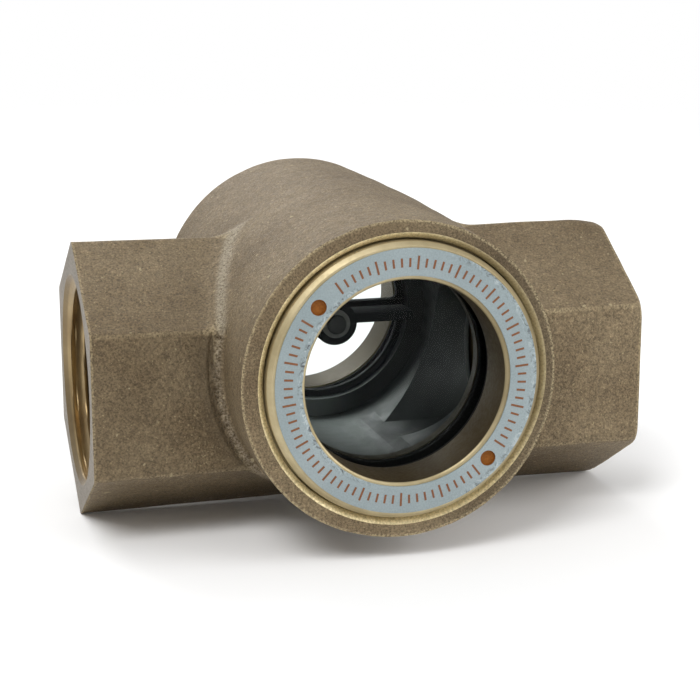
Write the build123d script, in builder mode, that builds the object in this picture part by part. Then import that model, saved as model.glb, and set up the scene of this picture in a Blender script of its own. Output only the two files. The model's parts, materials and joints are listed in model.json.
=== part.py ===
"""Inline sight glass: a cast bronze body with two windows and a vane rotor inside.

The origin is the centre of the overall box. +X runs along the pipe axis from the inlet
to the outlet, +Z is up, and the front window faces -Y. Lengths are in millimetres.
"""

from build123d import *

import os
from math import cos, hypot, radians

# Pipe ends: a hexagonal bar with a 1 inch NPT socket in each end
LENGTH = 95.6
HEX_ACROSS_FLATS = 42.0
HEX_DRAFT_ANGLE = 0.6
HEX_EDGE_RADIUS = 0.6
PORT_MOUTH_RADIUS = 18.2
PORT_THREAD_RADIUS = 15.73
PORT_THREAD_END = 19.8
WATERWAY_RADIUS = 13.3
WATERWAY_START = 21.4

# Window barrel: a round boss along Y, its axis above the pipe axis
SIGHT_AXIS_OFFSET = 5.8
LIP_DISTANCE = 37.15
BARREL_MIDDLE_RADIUS = 26.5
LIP_RADIUS = 26.0
LIP_EDGE_RADIUS = 0.5
JUNCTION_FILLET = 1.5

# Machined steps of each window, from the lip inwards
MOUTH_CHAMFER_RADIUS = 23.75
THREAD_BORE_RADIUS = 23.0
MOUTH_CHAMFER_DEPTH = 0.95
THREAD_BORE_DEPTH = 8.15
SEAT_BORE_RADIUS = 20.75
LEDGE_BORE_RADIUS = 16.8
LEDGE_THICKNESS = 2.0
CHAMBER_RADIUS = 20.0

# Window stack, as distances from the middle plane
STACK_START = 21.4
STACK_RADIUS = 20.5
GASKET_INNER_RADIUS = 17.0
SEAT_GASKET_THICKNESS = 1.0
GLASS_THICKNESS = 6.0
CUSHION_GASKET_THICKNESS = 0.6
SLIP_RING_THICKNESS = 0.4
GLASS_EDGE_CHAMFER = 0.4

# Retaining ring and its label
RETAINER_THREAD_RADIUS = 22.95
RETAINER_THREAD_LENGTH = 5.6
RETAINER_HEAD_RADIUS = 22.65
RETAINER_LENGTH = 8.7
RETAINER_BORE_RADIUS = 16.6
RETAINER_EDGE_CHAMFER = 0.7
LABEL_INNER_RADIUS = 17.2
LABEL_OUTER_RADIUS = 21.67
LABEL_THICKNESS = 0.25
SPANNER_PITCH_RADIUS = 19.35
SPANNER_HOLE_RADIUS = 1.3
SPANNER_HOLE_DEPTH = 1.5
SPANNER_ANGLE = 138.0
SPANNER_SPREAD = 177.5

# Rotor and its one-sided bearing, as distances towards the back window
BRIDGE_RIM_THICKNESS = 1.0
BRIDGE_RIM_RADIUS = 20.6
BRIDGE_INNER_RADIUS = 15.5
BRIDGE_BAR_THICKNESS = 2.0
BRIDGE_BAR_HEIGHT = 2.8
BRIDGE_CORNER_RADIUS = 1.2
BRIDGE_BOSS_RADIUS = 3.0
BRIDGE_BOSS_LENGTH = 3.4
AXLE_RADIUS = 1.0
AXLE_CLEARANCE = 0.05
AXLE_HEAD_RADIUS = 1.8
AXLE_HEAD_LENGTH = 0.8
WASHER_RADIUS = 2.6
WASHER_THICKNESS = 0.5
END_FLOAT = 0.08
HUB_RADIUS = 4.0
HUB_LENGTH = 9.3
VANE_COUNT = 2
VANE_TIP_RADIUS = 15.8
VANE_THICKNESS = 1.8
VANE_WIDTH = 5.6
VANE_SETBACK = 0.3
VANE_ROOT_FILLET = 1.6

# The box is centred on the origin, so both axes move down by half of the height difference.
corner_ratio = 1 / cos(radians(30))
hex_corner_reach = HEX_ACROSS_FLATS / 2 * corner_ratio - HEX_EDGE_RADIUS * (corner_ratio - 1)
pipe_z = (hex_corner_reach - SIGHT_AXIS_OFFSET - BARREL_MIDDLE_RADIUS) / 2
sight_z = pipe_z + SIGHT_AXIS_OFFSET
half_length = LENGTH / 2

pipe_axis = Axis((0, 0, pipe_z), (1, 0, 0))
sight_axis = Axis((0, 0, sight_z), (0, 1, 0))
sides = (("front", -1), ("back", 1))

# The back seat is deeper by the bridge's rim, so both glasses sit at the same distance.
front_seat = STACK_START
back_seat = STACK_START - BRIDGE_RIM_THICKNESS
glass_start = STACK_START + SEAT_GASKET_THICKNESS
cushion_start = glass_start + GLASS_THICKNESS
slip_start = cushion_start + CUSHION_GASKET_THICKNESS
retainer_start = slip_start + SLIP_RING_THICKNESS
label_start = retainer_start + RETAINER_LENGTH
thread_bore_start = LIP_DISTANCE - THREAD_BORE_DEPTH

# The rotor's parts, from the bridge towards the middle of the chamber
bridge_back = STACK_START
boss_front = bridge_back - BRIDGE_BOSS_LENGTH
rotor_back = boss_front - WASHER_THICKNESS - 2 * END_FLOAT
rotor_front = rotor_back - HUB_LENGTH
axle_head_back = rotor_front - WASHER_THICKNESS - 2 * END_FLOAT
axle_tip = axle_head_back - AXLE_HEAD_LENGTH


def window_plane(way, distance):
    """A plane across the sight axis, facing out through one window."""
    return Plane(origin=(0, way * distance, sight_z), x_dir=(1, 0, 0), z_dir=(0, way, 0))


def axle_distance(edge):
    """How far an edge's middle lies from the sight axis."""
    middle = edge.center()
    return hypot(middle.X, middle.Z - sight_z)


def is_junction(edge):
    """Whether an edge runs where the hexagonal bar meets the tapered barrel."""
    middle = edge @ 0.5
    taper = (BARREL_MIDDLE_RADIUS - LIP_RADIUS) / LIP_DISTANCE
    barrel_radius = BARREL_MIDDLE_RADIUS - taper * abs(middle.Y)
    on_barrel = abs(hypot(middle.X, middle.Z - sight_z) - barrel_radius) < 0.05
    return on_barrel and 0.01 < abs(middle.Y) < HEX_ACROSS_FLATS / 2


def is_lip(edge):
    """Whether an edge runs around the barrel's front or back lip."""
    return abs(edge.center().Y) > LIP_DISTANCE - 0.01


def is_vane_tip(edge):
    """Whether an edge stands at the outer end of a vane."""
    return axle_distance(edge) > VANE_TIP_RADIUS - 0.1


def is_vane_root(edge):
    """Whether an edge stands where a vane leaves the hub."""
    return axle_distance(edge) < HUB_RADIUS + 0.1


def is_bar_corner(edge):
    """Whether an edge stands where the bridge's bar meets the inside of its rim."""
    return abs(axle_distance(edge) - BRIDGE_INNER_RADIUS) < 0.1


def write(piece, label):
    """Name a finished piece and write it to its own file."""
    piece.part.label = label
    export_step(piece.part, f"parts/{label}.step")


# Body casting: hexagonal bar, barrel, then the machined bores
with BuildPart() as body:
    for end in (-1, 1):
        end_plane = Plane(origin=(end * half_length, 0, pipe_z), x_dir=(0, 1, 0), z_dir=(-end, 0, 0))
        with BuildSketch(end_plane):
            RegularPolygon(HEX_ACROSS_FLATS / 2, 6, major_radius=False, rotation=30)
        extrude(amount=half_length, taper=HEX_DRAFT_ANGLE)
    long_edges = body.edges().filter_by(lambda edge: edge.length > half_length * 0.9)
    fillet(long_edges, HEX_EDGE_RADIUS)
    with BuildSketch(Plane((0, 0, sight_z))) as barrel_profile:
        with BuildLine():
            Polyline(
                (0, -LIP_DISTANCE),
                (LIP_RADIUS, -LIP_DISTANCE),
                (BARREL_MIDDLE_RADIUS, 0),
                (LIP_RADIUS, LIP_DISTANCE),
                (0, LIP_DISTANCE),
                close=True,
            )
        make_face()
    revolve(axis=sight_axis)
    fillet(body.edges().filter_by(is_junction), JUNCTION_FILLET)
    fillet(body.edges().filter_by(GeomType.CIRCLE).filter_by(is_lip), LIP_EDGE_RADIUS)
    with BuildSketch(Plane((0, 0, sight_z))) as window_profile:
        with BuildLine():
            Polyline(
                (0, -LIP_DISTANCE),
                (MOUTH_CHAMFER_RADIUS, -LIP_DISTANCE),
                (THREAD_BORE_RADIUS, MOUTH_CHAMFER_DEPTH - LIP_DISTANCE),
                (THREAD_BORE_RADIUS, -thread_bore_start),
                (SEAT_BORE_RADIUS, -thread_bore_start),
                (SEAT_BORE_RADIUS, -front_seat),
                (LEDGE_BORE_RADIUS, -front_seat),
                (LEDGE_BORE_RADIUS, LEDGE_THICKNESS - front_seat),
                (CHAMBER_RADIUS, LEDGE_THICKNESS - front_seat),
                (CHAMBER_RADIUS, back_seat - LEDGE_THICKNESS),
                (LEDGE_BORE_RADIUS, back_seat - LEDGE_THICKNESS),
                (LEDGE_BORE_RADIUS, back_seat),
                (SEAT_BORE_RADIUS, back_seat),
                (SEAT_BORE_RADIUS, thread_bore_start),
                (THREAD_BORE_RADIUS, thread_bore_start),
                (THREAD_BORE_RADIUS, LIP_DISTANCE - MOUTH_CHAMFER_DEPTH),
                (MOUTH_CHAMFER_RADIUS, LIP_DISTANCE),
                (0, LIP_DISTANCE),
                close=True,
            )
        make_face()
    revolve(axis=sight_axis, mode=Mode.SUBTRACT)
    mouth_depth = PORT_MOUTH_RADIUS - PORT_THREAD_RADIUS
    with BuildSketch(Plane((0, 0, pipe_z))) as port_profile:
        with BuildLine():
            Polyline(
                (-half_length, 0),
                (-half_length, PORT_MOUTH_RADIUS),
                (mouth_depth - half_length, PORT_THREAD_RADIUS),
                (PORT_THREAD_END - half_length, PORT_THREAD_RADIUS),
                (WATERWAY_START - half_length, WATERWAY_RADIUS),
                (half_length - WATERWAY_START, WATERWAY_RADIUS),
                (half_length - PORT_THREAD_END, PORT_THREAD_RADIUS),
                (half_length - mouth_depth, PORT_THREAD_RADIUS),
                (half_length, PORT_MOUTH_RADIUS),
                (half_length, 0),
                close=True,
            )
        make_face()
    revolve(axis=pipe_axis, mode=Mode.SUBTRACT)
write(body, "body")

# Window stacks: the same pieces in front and at the back
for side, way in sides:
    with BuildPart() as seat_gasket:
        with BuildSketch(window_plane(way, STACK_START)):
            Circle(STACK_RADIUS)
            Circle(GASKET_INNER_RADIUS, mode=Mode.SUBTRACT)
        extrude(amount=SEAT_GASKET_THICKNESS)
    write(seat_gasket, f"{side}_seat_gasket")

    with BuildPart() as glass:
        with BuildSketch(window_plane(way, glass_start)):
            Circle(STACK_RADIUS)
        extrude(amount=GLASS_THICKNESS)
        chamfer(glass.edges().filter_by(GeomType.CIRCLE), GLASS_EDGE_CHAMFER)
    write(glass, f"{side}_glass")

    with BuildPart() as cushion_gasket:
        with BuildSketch(window_plane(way, cushion_start)):
            Circle(STACK_RADIUS)
            Circle(GASKET_INNER_RADIUS, mode=Mode.SUBTRACT)
        extrude(amount=CUSHION_GASKET_THICKNESS)
    write(cushion_gasket, f"{side}_cushion_gasket")

    with BuildPart() as slip_ring:
        with BuildSketch(window_plane(way, slip_start)):
            Circle(STACK_RADIUS)
            Circle(GASKET_INNER_RADIUS, mode=Mode.SUBTRACT)
        extrude(amount=SLIP_RING_THICKNESS)
    write(slip_ring, f"{side}_slip_ring")

    spanner_places = PolarLocations(
        SPANNER_PITCH_RADIUS, 2, SPANNER_ANGLE, SPANNER_SPREAD, endpoint=True
    )
    with BuildPart() as retainer:
        with BuildSketch(window_plane(way, retainer_start)):
            Circle(RETAINER_THREAD_RADIUS)
        extrude(amount=RETAINER_THREAD_LENGTH)
        with BuildSketch(window_plane(way, retainer_start)):
            Circle(RETAINER_HEAD_RADIUS)
        extrude(amount=RETAINER_LENGTH)
        outer_face = retainer.faces().sort_by(Axis.Y)[-1 if way > 0 else 0]
        chamfer(outer_face.edges(), RETAINER_EDGE_CHAMFER)
        with BuildSketch(window_plane(way, retainer_start)):
            Circle(RETAINER_BORE_RADIUS)
        extrude(amount=RETAINER_LENGTH, mode=Mode.SUBTRACT)
        with BuildSketch(window_plane(way, label_start)):
            with spanner_places:
                Circle(SPANNER_HOLE_RADIUS)
        extrude(amount=-SPANNER_HOLE_DEPTH, mode=Mode.SUBTRACT)
    write(retainer, f"{side}_retainer")

    with BuildPart() as label_ring:
        with BuildSketch(window_plane(way, label_start)):
            Circle(LABEL_OUTER_RADIUS)
            Circle(LABEL_INNER_RADIUS, mode=Mode.SUBTRACT)
            with spanner_places:
                Circle(SPANNER_HOLE_RADIUS, mode=Mode.SUBTRACT)
        extrude(amount=LABEL_THICKNESS)
    write(label_ring, f"{side}_label")

# Bridge: a thin rim held under the back seat gasket, with a bar and a boss for the axle
with BuildPart() as axle_bridge:
    with BuildSketch(window_plane(1, back_seat)):
        Circle(BRIDGE_RIM_RADIUS)
        Circle(BRIDGE_INNER_RADIUS, mode=Mode.SUBTRACT)
        Rectangle(2 * (BRIDGE_INNER_RADIUS + 1), BRIDGE_BAR_HEIGHT)
    extrude(amount=BRIDGE_RIM_THICKNESS)
    fillet(axle_bridge.edges().filter_by(Axis.Y).filter_by(is_bar_corner), BRIDGE_CORNER_RADIUS)
    with BuildSketch(window_plane(1, bridge_back - BRIDGE_BAR_THICKNESS)):
        Rectangle(2 * (LEDGE_BORE_RADIUS - 0.3), BRIDGE_BAR_HEIGHT)
    extrude(amount=BRIDGE_BAR_THICKNESS)
    with BuildSketch(window_plane(1, boss_front)):
        Circle(BRIDGE_BOSS_RADIUS)
    extrude(amount=BRIDGE_BOSS_LENGTH)
    with BuildSketch(window_plane(1, boss_front)):
        Circle(AXLE_RADIUS)
    extrude(amount=BRIDGE_BOSS_LENGTH, mode=Mode.SUBTRACT)
write(axle_bridge, "axle_bridge")

# Axle: a headed pin pressed into the bridge
with BuildPart() as axle_pin:
    with BuildSketch(window_plane(1, axle_tip)):
        Circle(AXLE_HEAD_RADIUS)
    extrude(amount=AXLE_HEAD_LENGTH)
    fillet(axle_pin.edges().sort_by(Axis.Y)[0], AXLE_HEAD_LENGTH / 2)
    with BuildSketch(window_plane(1, axle_head_back)):
        Circle(AXLE_RADIUS)
    extrude(amount=bridge_back - axle_head_back)
write(axle_pin, "axle_pin")

# Thrust washers on each side of the rotor's hub
washer_starts = {"front": axle_head_back + END_FLOAT, "back": rotor_back + END_FLOAT}
for side, washer_start in washer_starts.items():
    with BuildPart() as thrust_washer:
        with BuildSketch(window_plane(1, washer_start)):
            Circle(WASHER_RADIUS)
            Circle(AXLE_RADIUS + AXLE_CLEARANCE, mode=Mode.SUBTRACT)
        extrude(amount=WASHER_THICKNESS)
    write(thrust_washer, f"{side}_thrust_washer")

# Rotor: a hub with radial vanes, one of them pointing at the outlet
vane_start = rotor_back - VANE_SETBACK - VANE_WIDTH
with BuildPart() as rotor:
    with BuildSketch(window_plane(1, vane_start)):
        Circle(HUB_RADIUS)
        with PolarLocations(0, VANE_COUNT):
            Rectangle(VANE_TIP_RADIUS, VANE_THICKNESS, align=(Align.MIN, Align.CENTER))
    extrude(amount=VANE_WIDTH)
    fillet(rotor.edges().filter_by(Axis.Y).filter_by(is_vane_tip), VANE_THICKNESS * 0.45)
    fillet(rotor.edges().filter_by(Axis.Y).filter_by(is_vane_root), VANE_ROOT_FILLET)
    with BuildSketch(window_plane(1, rotor_front)):
        Circle(HUB_RADIUS)
    extrude(amount=HUB_LENGTH)
    with BuildSketch(window_plane(1, rotor_front)):
        Circle(AXLE_RADIUS + AXLE_CLEARANCE)
    extrude(amount=HUB_LENGTH, mode=Mode.SUBTRACT)
write(rotor, "rotor")
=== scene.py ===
"""Looks for the sight glass: cast bronze body, turned brass rings, glass, seals and rotor.

Shapes are worked out in millimetres in the frame's own axes and turned into metres when a
mesh is made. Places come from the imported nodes, so every piece sits where its CAD part is.
"""

import json
from math import cos, hypot, pi, radians, sin, tan

import bmesh
import bpy
import numpy as np
from mathutils import Matrix, Vector

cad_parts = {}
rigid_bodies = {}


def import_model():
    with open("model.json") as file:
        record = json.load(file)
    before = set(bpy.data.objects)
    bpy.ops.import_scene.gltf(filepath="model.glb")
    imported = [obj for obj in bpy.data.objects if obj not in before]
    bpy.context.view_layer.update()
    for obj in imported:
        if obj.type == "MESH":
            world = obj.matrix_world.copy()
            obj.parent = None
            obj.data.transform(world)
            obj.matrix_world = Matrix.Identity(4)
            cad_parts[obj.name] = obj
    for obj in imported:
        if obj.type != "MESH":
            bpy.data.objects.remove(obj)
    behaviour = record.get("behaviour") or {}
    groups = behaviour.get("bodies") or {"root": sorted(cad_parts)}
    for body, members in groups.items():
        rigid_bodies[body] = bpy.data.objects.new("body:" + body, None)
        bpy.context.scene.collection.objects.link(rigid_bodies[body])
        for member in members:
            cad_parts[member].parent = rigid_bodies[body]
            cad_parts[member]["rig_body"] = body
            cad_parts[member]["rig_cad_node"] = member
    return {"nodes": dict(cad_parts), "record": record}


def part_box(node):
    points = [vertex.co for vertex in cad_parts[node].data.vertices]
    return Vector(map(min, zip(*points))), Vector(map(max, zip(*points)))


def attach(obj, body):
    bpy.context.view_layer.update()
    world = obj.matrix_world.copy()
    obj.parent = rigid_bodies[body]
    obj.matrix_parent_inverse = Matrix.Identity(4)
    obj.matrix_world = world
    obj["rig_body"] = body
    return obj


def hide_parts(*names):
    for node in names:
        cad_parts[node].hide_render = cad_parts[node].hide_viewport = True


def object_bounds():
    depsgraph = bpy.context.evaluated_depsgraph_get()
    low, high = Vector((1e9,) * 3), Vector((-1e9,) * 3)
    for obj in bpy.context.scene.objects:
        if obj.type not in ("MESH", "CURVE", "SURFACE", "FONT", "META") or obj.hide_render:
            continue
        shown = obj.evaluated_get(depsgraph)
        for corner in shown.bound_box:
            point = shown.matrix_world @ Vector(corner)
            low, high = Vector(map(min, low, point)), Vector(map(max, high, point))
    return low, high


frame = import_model()
cad_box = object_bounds()

MM = 0.001


def box_mm(node):
    """Lowest and highest corner of a CAD node in millimetres."""
    low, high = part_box(node)
    return np.array(low) / MM, np.array(high) / MM


def mount_height(name):
    """Height of a mount's axis in millimetres."""
    mounts = {mount["name"]: mount for mount in frame["record"]["mounts"]}
    return mounts[name]["pos_m"][2] / MM


# Places read from the frame
body_low, body_high = box_mm("body")
label_low, label_high = box_mm("front_label")
retainer_low, retainer_high = box_mm("front_retainer")
glass_low, glass_high = box_mm("front_glass")
front_seat = -box_mm("front_seat_gasket")[1][1]
rim_back = box_mm("back_seat_gasket")[0][1]

pipe_z = mount_height("inlet_port")
sight_z = (glass_low[2] + glass_high[2]) / 2
half_length = body_high[0]
lip_distance = body_high[1]

# Body casting
HEX_ACROSS_FLATS = 42.0
HEX_DRAFT = tan(radians(0.6))
HEX_ROUNDING = 0.55
BARREL_MIDDLE_RADIUS = 26.5
LIP_RADIUS = 26.0
LIP_SHIFT = -0.6
JUNCTION_BLEND = 4.0
CAST_STEP = 0.62
CAST_UNEVENNESS = 0.07
SPARE = 1.5

# Right end of the bar: its corners are worn round, and the top one has sunk a little
WORN_CORNER_RADIUS = 23.55
WORN_CORNER_LEAN = 1.2
WORN_CORNER_SHARE = 0.64
WORN_CORNER_ROUNDING = 0.4
SUNK_CORNER_LENGTH = 4.5
SUNK_CORNER_HEIGHT = 24.15
SUNK_CORNER_TILT = (0.25, 0.97)
SUNK_CORNER_ROUNDING = 0.8

# Mould flash along the lower left front of the junction, measured from the crease
FLASH_TOP = 12.5
FLASH_BOTTOM = -13
FLASH_MIDDLE = 0.3
FLASH_HALF_WIDTH = 1.3
FLASH_HEIGHT = 1.1
FLASH_GROOVE_OFFSET = 1.9
FLASH_GROOVE_WIDTH = 0.4
FLASH_GROOVE_DEPTH = 0.4
FLASH_GAP_HEIGHT = 4.2
FLASH_GAP_WIDTH = 0.35

# Machined steps of the body
THREAD_BORE_RADIUS = 23.0
WORN_MOUTH = ((23.95, 0.0), (23.7, 0.12), (23.4, 0.4), (THREAD_BORE_RADIUS, 0.95))
THREAD_BORE_DEPTH = 8.15
SEAT_BORE_RADIUS = 20.75
LEDGE_BORE_RADIUS = 16.8
LEDGE_THICKNESS = 2.0
CHAMBER_RADIUS = 20.0
BRIDGE_RIM_THICKNESS = 1.0

# Pipe threads, 1 inch, 11.5 threads per inch, tapered 1 in 16 on the diameter
PORT_MOUTH_RADIUS = 18.2
PORT_BEVEL = 0.6
THREAD_RUN_IN = 3.4
THREAD_GAUGE_DEPTH = 5
THREAD_PITCH = 25.4 / 11.5
THREAD_PITCH_RADIUS = 15.73
THREAD_DEPTH = 0.8 * THREAD_PITCH
THREAD_TAPER = 1 / 32
PORT_THREAD_END = 19.8
WATERWAY_RADIUS = 13.3
WATERWAY_START = 21.4

# Retaining rings and their two spanner holes, glass and gaskets
RETAINER_HEAD_RADIUS = 22.65
RETAINER_EDGE_CHAMFER = 0.7
RETAINER_BORE_RADIUS = 16.6
RETAINER_THREAD_LENGTH = 5.6
RETAINER_SKIRT_CHAMFER = 0.4
RETAINER_BORE_CHAMFER = 0.25
SPANNER_PITCH_RADIUS = 19.35
SPANNER_HOLE_RADIUS = 1.3
SPANNER_HOLE_DEPTH = 0.4
SPANNER_ANGLES = (radians(138), radians(315.5))
GLASS_CHAMFER = 0.4
GASKET_INNER_RADIUS = 17.0

# Label ring: its crinkled edge, its scuffed bands and its printed marks
LABEL_INNER_RADIUS = 17.2
LABEL_SHIFT = 0.18
LABEL_SPARE = 0.04
CRINKLE_WIDTH = 0.9
CRINKLE_DEPTH = 0.16
CRINKLE_LIFT = 0.1
INNER_SCUFF = (18.2, 17.4)
OUTER_SCUFF = (20.6, 21.4)
MARK_COUNT = 41
MARK_START = 9
MARK_SPREAD = 160.5
MARK_HALF_WIDTH = 0.17
MARK_DEPTHS = (0.09, 0.01)
LONG_MARK = 1.1
SHORT_MARK = 0.72

# Painted marks of the casting, with a painted highlight and painted shade among them. Bands and RIDGE_START
# are distances from the sight axis
FILLET_BAND = (26.6, 27.3, 27.5, 28.4)
CREASE_SHADE_BAND = (27.4, 28.4, 28.4, 33.0)
RIDGE_START = (27.2, 28.2)
# Heights above the pipe axis, from none of the mark to all of it
FILLET_HIGHLIGHT_RISE = (11.0, 12.5)
CREASE_SHADE_RISE = (12.0, 9.5)
CRUST_RISE = (12.0, 11.0)
# Distances in from an edge, where wear starts and where it is full
WORN_RIDGE = (0.3, 0.12)
WORN_EDGE = (0.3, 0.1)
WORN_END = (0.5, 0.3)
WORN_RIM = (0.55, 0.2)

# Meshing
RING_SEGMENTS = 224
GRADIENT_STEP = 0.02
TOUCH = 0.01
SMOOTH_ANGLE = 35


# ---------------------------------------------------------------- meshes


def new_object(name, points_mm, faces, material):
    """A mesh object from points in millimetres, smooth except across sharp edges."""
    mesh = bpy.data.meshes.new(name)
    mesh.from_pydata((np.asarray(points_mm) * MM).tolist(), [], faces)
    obj = bpy.data.objects.new(name, mesh)
    bpy.context.scene.collection.objects.link(obj)
    mesh.materials.append(material)
    smooth(obj)
    return obj


def smooth(obj, smooth_angle=SMOOTH_ANGLE):
    """Point every face outwards and keep only the edges sharper than an angle."""
    mesh = obj.data
    work = bmesh.new()
    work.from_mesh(mesh)
    bmesh.ops.recalc_face_normals(work, faces=work.faces)
    work.to_mesh(mesh)
    work.free()
    mesh.shade_smooth()
    mesh.set_sharp_from_angle(angle=radians(smooth_angle))


def read_points(mesh):
    """A mesh's points in millimetres."""
    values = np.empty(len(mesh.vertices) * 3)
    mesh.vertices.foreach_get("co", values)
    return values.reshape(-1, 3) / MM


def write_points(mesh, points):
    """Move a mesh's points, given in millimetres."""
    mesh.vertices.foreach_set("co", (points * MM).ravel())
    mesh.update()


def paint(obj, material, chosen):
    """Give a material to the faces whose middle (x, y, z), in millimetres, is chosen."""
    mesh = obj.data
    count = len(mesh.polygons)
    centres = np.empty(count * 3)
    mesh.polygons.foreach_get("center", centres)
    index = np.empty(count, int)
    mesh.polygons.foreach_get("material_index", index)
    index[chosen(*(centres.reshape(-1, 3) / MM).T)] = len(mesh.materials)
    mesh.materials.append(material)
    mesh.polygons.foreach_set("material_index", index)


def rounded_outline(corners, radius, steps):
    """A closed outline through corners, each corner turned by a short curve."""
    outline = []
    count = len(corners)
    for i in range(count):
        before, corner, after = (np.array(corners[(i + k) % count], float) for k in (-1, 0, 1))
        to_before, to_after = before - corner, after - corner
        reach = min(radius, 0.45 * hypot(*to_before), 0.45 * hypot(*to_after))
        start = corner + to_before / hypot(*to_before) * reach
        end = corner + to_after / hypot(*to_after) * reach
        for step in range(steps + 1):
            t = step / steps
            outline.append((1 - t) ** 2 * start + 2 * t * (1 - t) * corner + t * t * end)
    return outline


def turned(name, outline, material, centre=None, segments=RING_SEGMENTS, closed=True):
    """An outline of (radius, y) turned about an axis along Y, by default the sight axis.

    An outline that isn't closed starts and ends on the axis, and makes a solid disc or plug.
    """
    centre_x, centre_z = centre or (0, sight_z)
    angles = np.arange(segments) * 2 * pi / segments
    rows = outline if closed else outline[1:-1]
    points = [
        (centre_x + radius * cos(angle), y, centre_z + radius * sin(angle))
        for radius, y in rows
        for angle in angles
    ]
    count = len(rows)
    faces = []
    for row in range(count if closed else count - 1):
        low, high = row * segments, (row + 1) % count * segments
        for k in range(segments):
            m = (k + 1) % segments
            faces.append((low + k, low + m, high + m, high + k))
    if not closed:
        for row, y in ((0, outline[0][1]), (count - 1, outline[-1][1])):
            points.append((centre_x, y, centre_z))
            for k in range(segments):
                m = (k + 1) % segments
                faces.append((len(points) - 1, row * segments + k, row * segments + m))
    return new_object(name, points, faces, material)


def subtract(target, cutter):
    """Cut one closed mesh out of another and drop the cutter."""
    modifier = target.modifiers.new("cut", "BOOLEAN")
    modifier.operation = "DIFFERENCE"
    modifier.solver = "MANIFOLD"
    modifier.material_mode = "TRANSFER"
    modifier.object = cutter
    apply_modifiers(target)
    bpy.data.objects.remove(cutter)


def apply_modifiers(obj):
    """Replace an object's mesh with its evaluated one."""
    evaluated = obj.evaluated_get(bpy.context.evaluated_depsgraph_get())
    mesh = bpy.data.meshes.new_from_object(evaluated)
    obj.modifiers.clear()
    obj.data = mesh


def value_noise(points, cell, seed):
    """Smooth random values between -1 and 1 at points, with features about one cell wide."""
    size = 48
    lattice = np.random.default_rng(seed).uniform(-1, 1, (size, size, size))
    scaled = np.asarray(points) / cell + 1000.37
    base = np.floor(scaled).astype(int)
    part = scaled - base
    part = part * part * (3 - 2 * part)
    total = np.zeros(len(scaled))
    for corner in range(8):
        offset = np.array([(corner >> axis) & 1 for axis in range(3)])
        weight = np.prod(np.where(offset, part, 1 - part), axis=1)
        index = (base + offset) % size
        total += weight * lattice[index[:, 0], index[:, 1], index[:, 2]]
    return total


# ---------------------------------------------------------------- casting


def smooth_max(a, b, width):
    """The larger of two distances, rounded where they are within a width of each other."""
    near = np.maximum(width - np.abs(a - b), 0) / width
    return np.maximum(a, b) + near * near * width / 4


def casting_parts(points):
    """Distances to the hexagonal bar and to the window barrel, in millimetres."""
    x, y, z = points[..., 0], points[..., 1], points[..., 2]
    half_flat = HEX_ACROSS_FLATS / 2 - (half_length - np.abs(x)) * HEX_DRAFT
    up = z - pipe_z
    slope_a = np.abs(y * 0.5 + up * cos(pi / 6))
    slope_b = np.abs(y * 0.5 - up * cos(pi / 6))
    flats = smooth_max(smooth_max(np.abs(y), slope_a, HEX_ROUNDING), slope_b, HEX_ROUNDING)
    hexagon = np.maximum(flats - half_flat, np.abs(x) - half_length - SPARE)
    worn = WORN_CORNER_SHARE * (np.hypot(y, up) - WORN_CORNER_RADIUS - WORN_CORNER_LEAN * (half_length - x))
    along, upward = SUNK_CORNER_TILT
    sunk = along * (x - half_length + SUNK_CORNER_LENGTH) + upward * (up - SUNK_CORNER_HEIGHT)
    hexagon = smooth_max(hexagon, worn, WORN_CORNER_ROUNDING)
    hexagon = smooth_max(hexagon, sunk, SUNK_CORNER_ROUNDING)
    share = np.clip(np.abs(y) / lip_distance, 0, 1)
    radius = BARREL_MIDDLE_RADIUS + (LIP_RADIUS - BARREL_MIDDLE_RADIUS) * share
    off_axis = LIP_SHIFT * np.clip(-y / lip_distance, 0, 1)
    side = np.hypot(x - off_axis, z - sight_z) - radius
    barrel = np.maximum(side, np.abs(y) - lip_distance - SPARE)
    return hexagon, barrel


def casting_distance(points):
    """Distance to the outer skin of the casting, before any machining."""
    hexagon, barrel = casting_parts(points)
    return -smooth_max(-hexagon, -barrel, JUNCTION_BLEND)


def surface_net(distance, low, high, step):
    """Points and quads of a distance function's zero surface, one point per crossed cell."""
    axes = [np.arange(low[k], high[k] + step, step) for k in range(3)]
    grid = np.stack(np.meshgrid(*axes, indexing="ij"), -1)
    values = distance(grid)
    inside = values < 0
    cells = np.array(values.shape) - 1
    total = np.zeros((*cells, 3))
    count = np.zeros(cells, int)
    crossings = []
    for axis in range(3):
        first = [slice(None)] * 3
        second = [slice(None)] * 3
        first[axis] = slice(0, -1)
        second[axis] = slice(1, None)
        a, b = values[tuple(first)], values[tuple(second)]
        found = np.argwhere(inside[tuple(first)] != inside[tuple(second)])
        a, b = a[tuple(found.T)], b[tuple(found.T)]
        place = found.astype(float)
        place[:, axis] += a / (a - b)
        crossings.append((axis, found))
        others = [k for k in range(3) if k != axis]
        for shift in ((0, 0), (0, 1), (1, 0), (1, 1)):
            cell = found.copy()
            cell[:, others[0]] -= shift[0]
            cell[:, others[1]] -= shift[1]
            good = np.all((cell >= 0) & (cell < cells), axis=1)
            np.add.at(total, tuple(cell[good].T), place[good])
            np.add.at(count, tuple(cell[good].T), 1)
    used = np.argwhere(count > 0)
    number = np.full(cells, -1)
    number[tuple(used.T)] = np.arange(len(used))
    points = total[tuple(used.T)] / count[tuple(used.T)][:, None] * step + np.array(low)
    quads = []
    for axis, found in crossings:
        others = [k for k in range(3) if k != axis]
        ring = []
        for shift in ((0, 0), (1, 0), (1, 1), (0, 1)):
            cell = found.copy()
            cell[:, others[0]] -= shift[0]
            cell[:, others[1]] -= shift[1]
            ring.append(number[tuple(cell.T)])
        quads.append(np.stack(ring, -1))
    return points, np.concatenate(quads)


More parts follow.
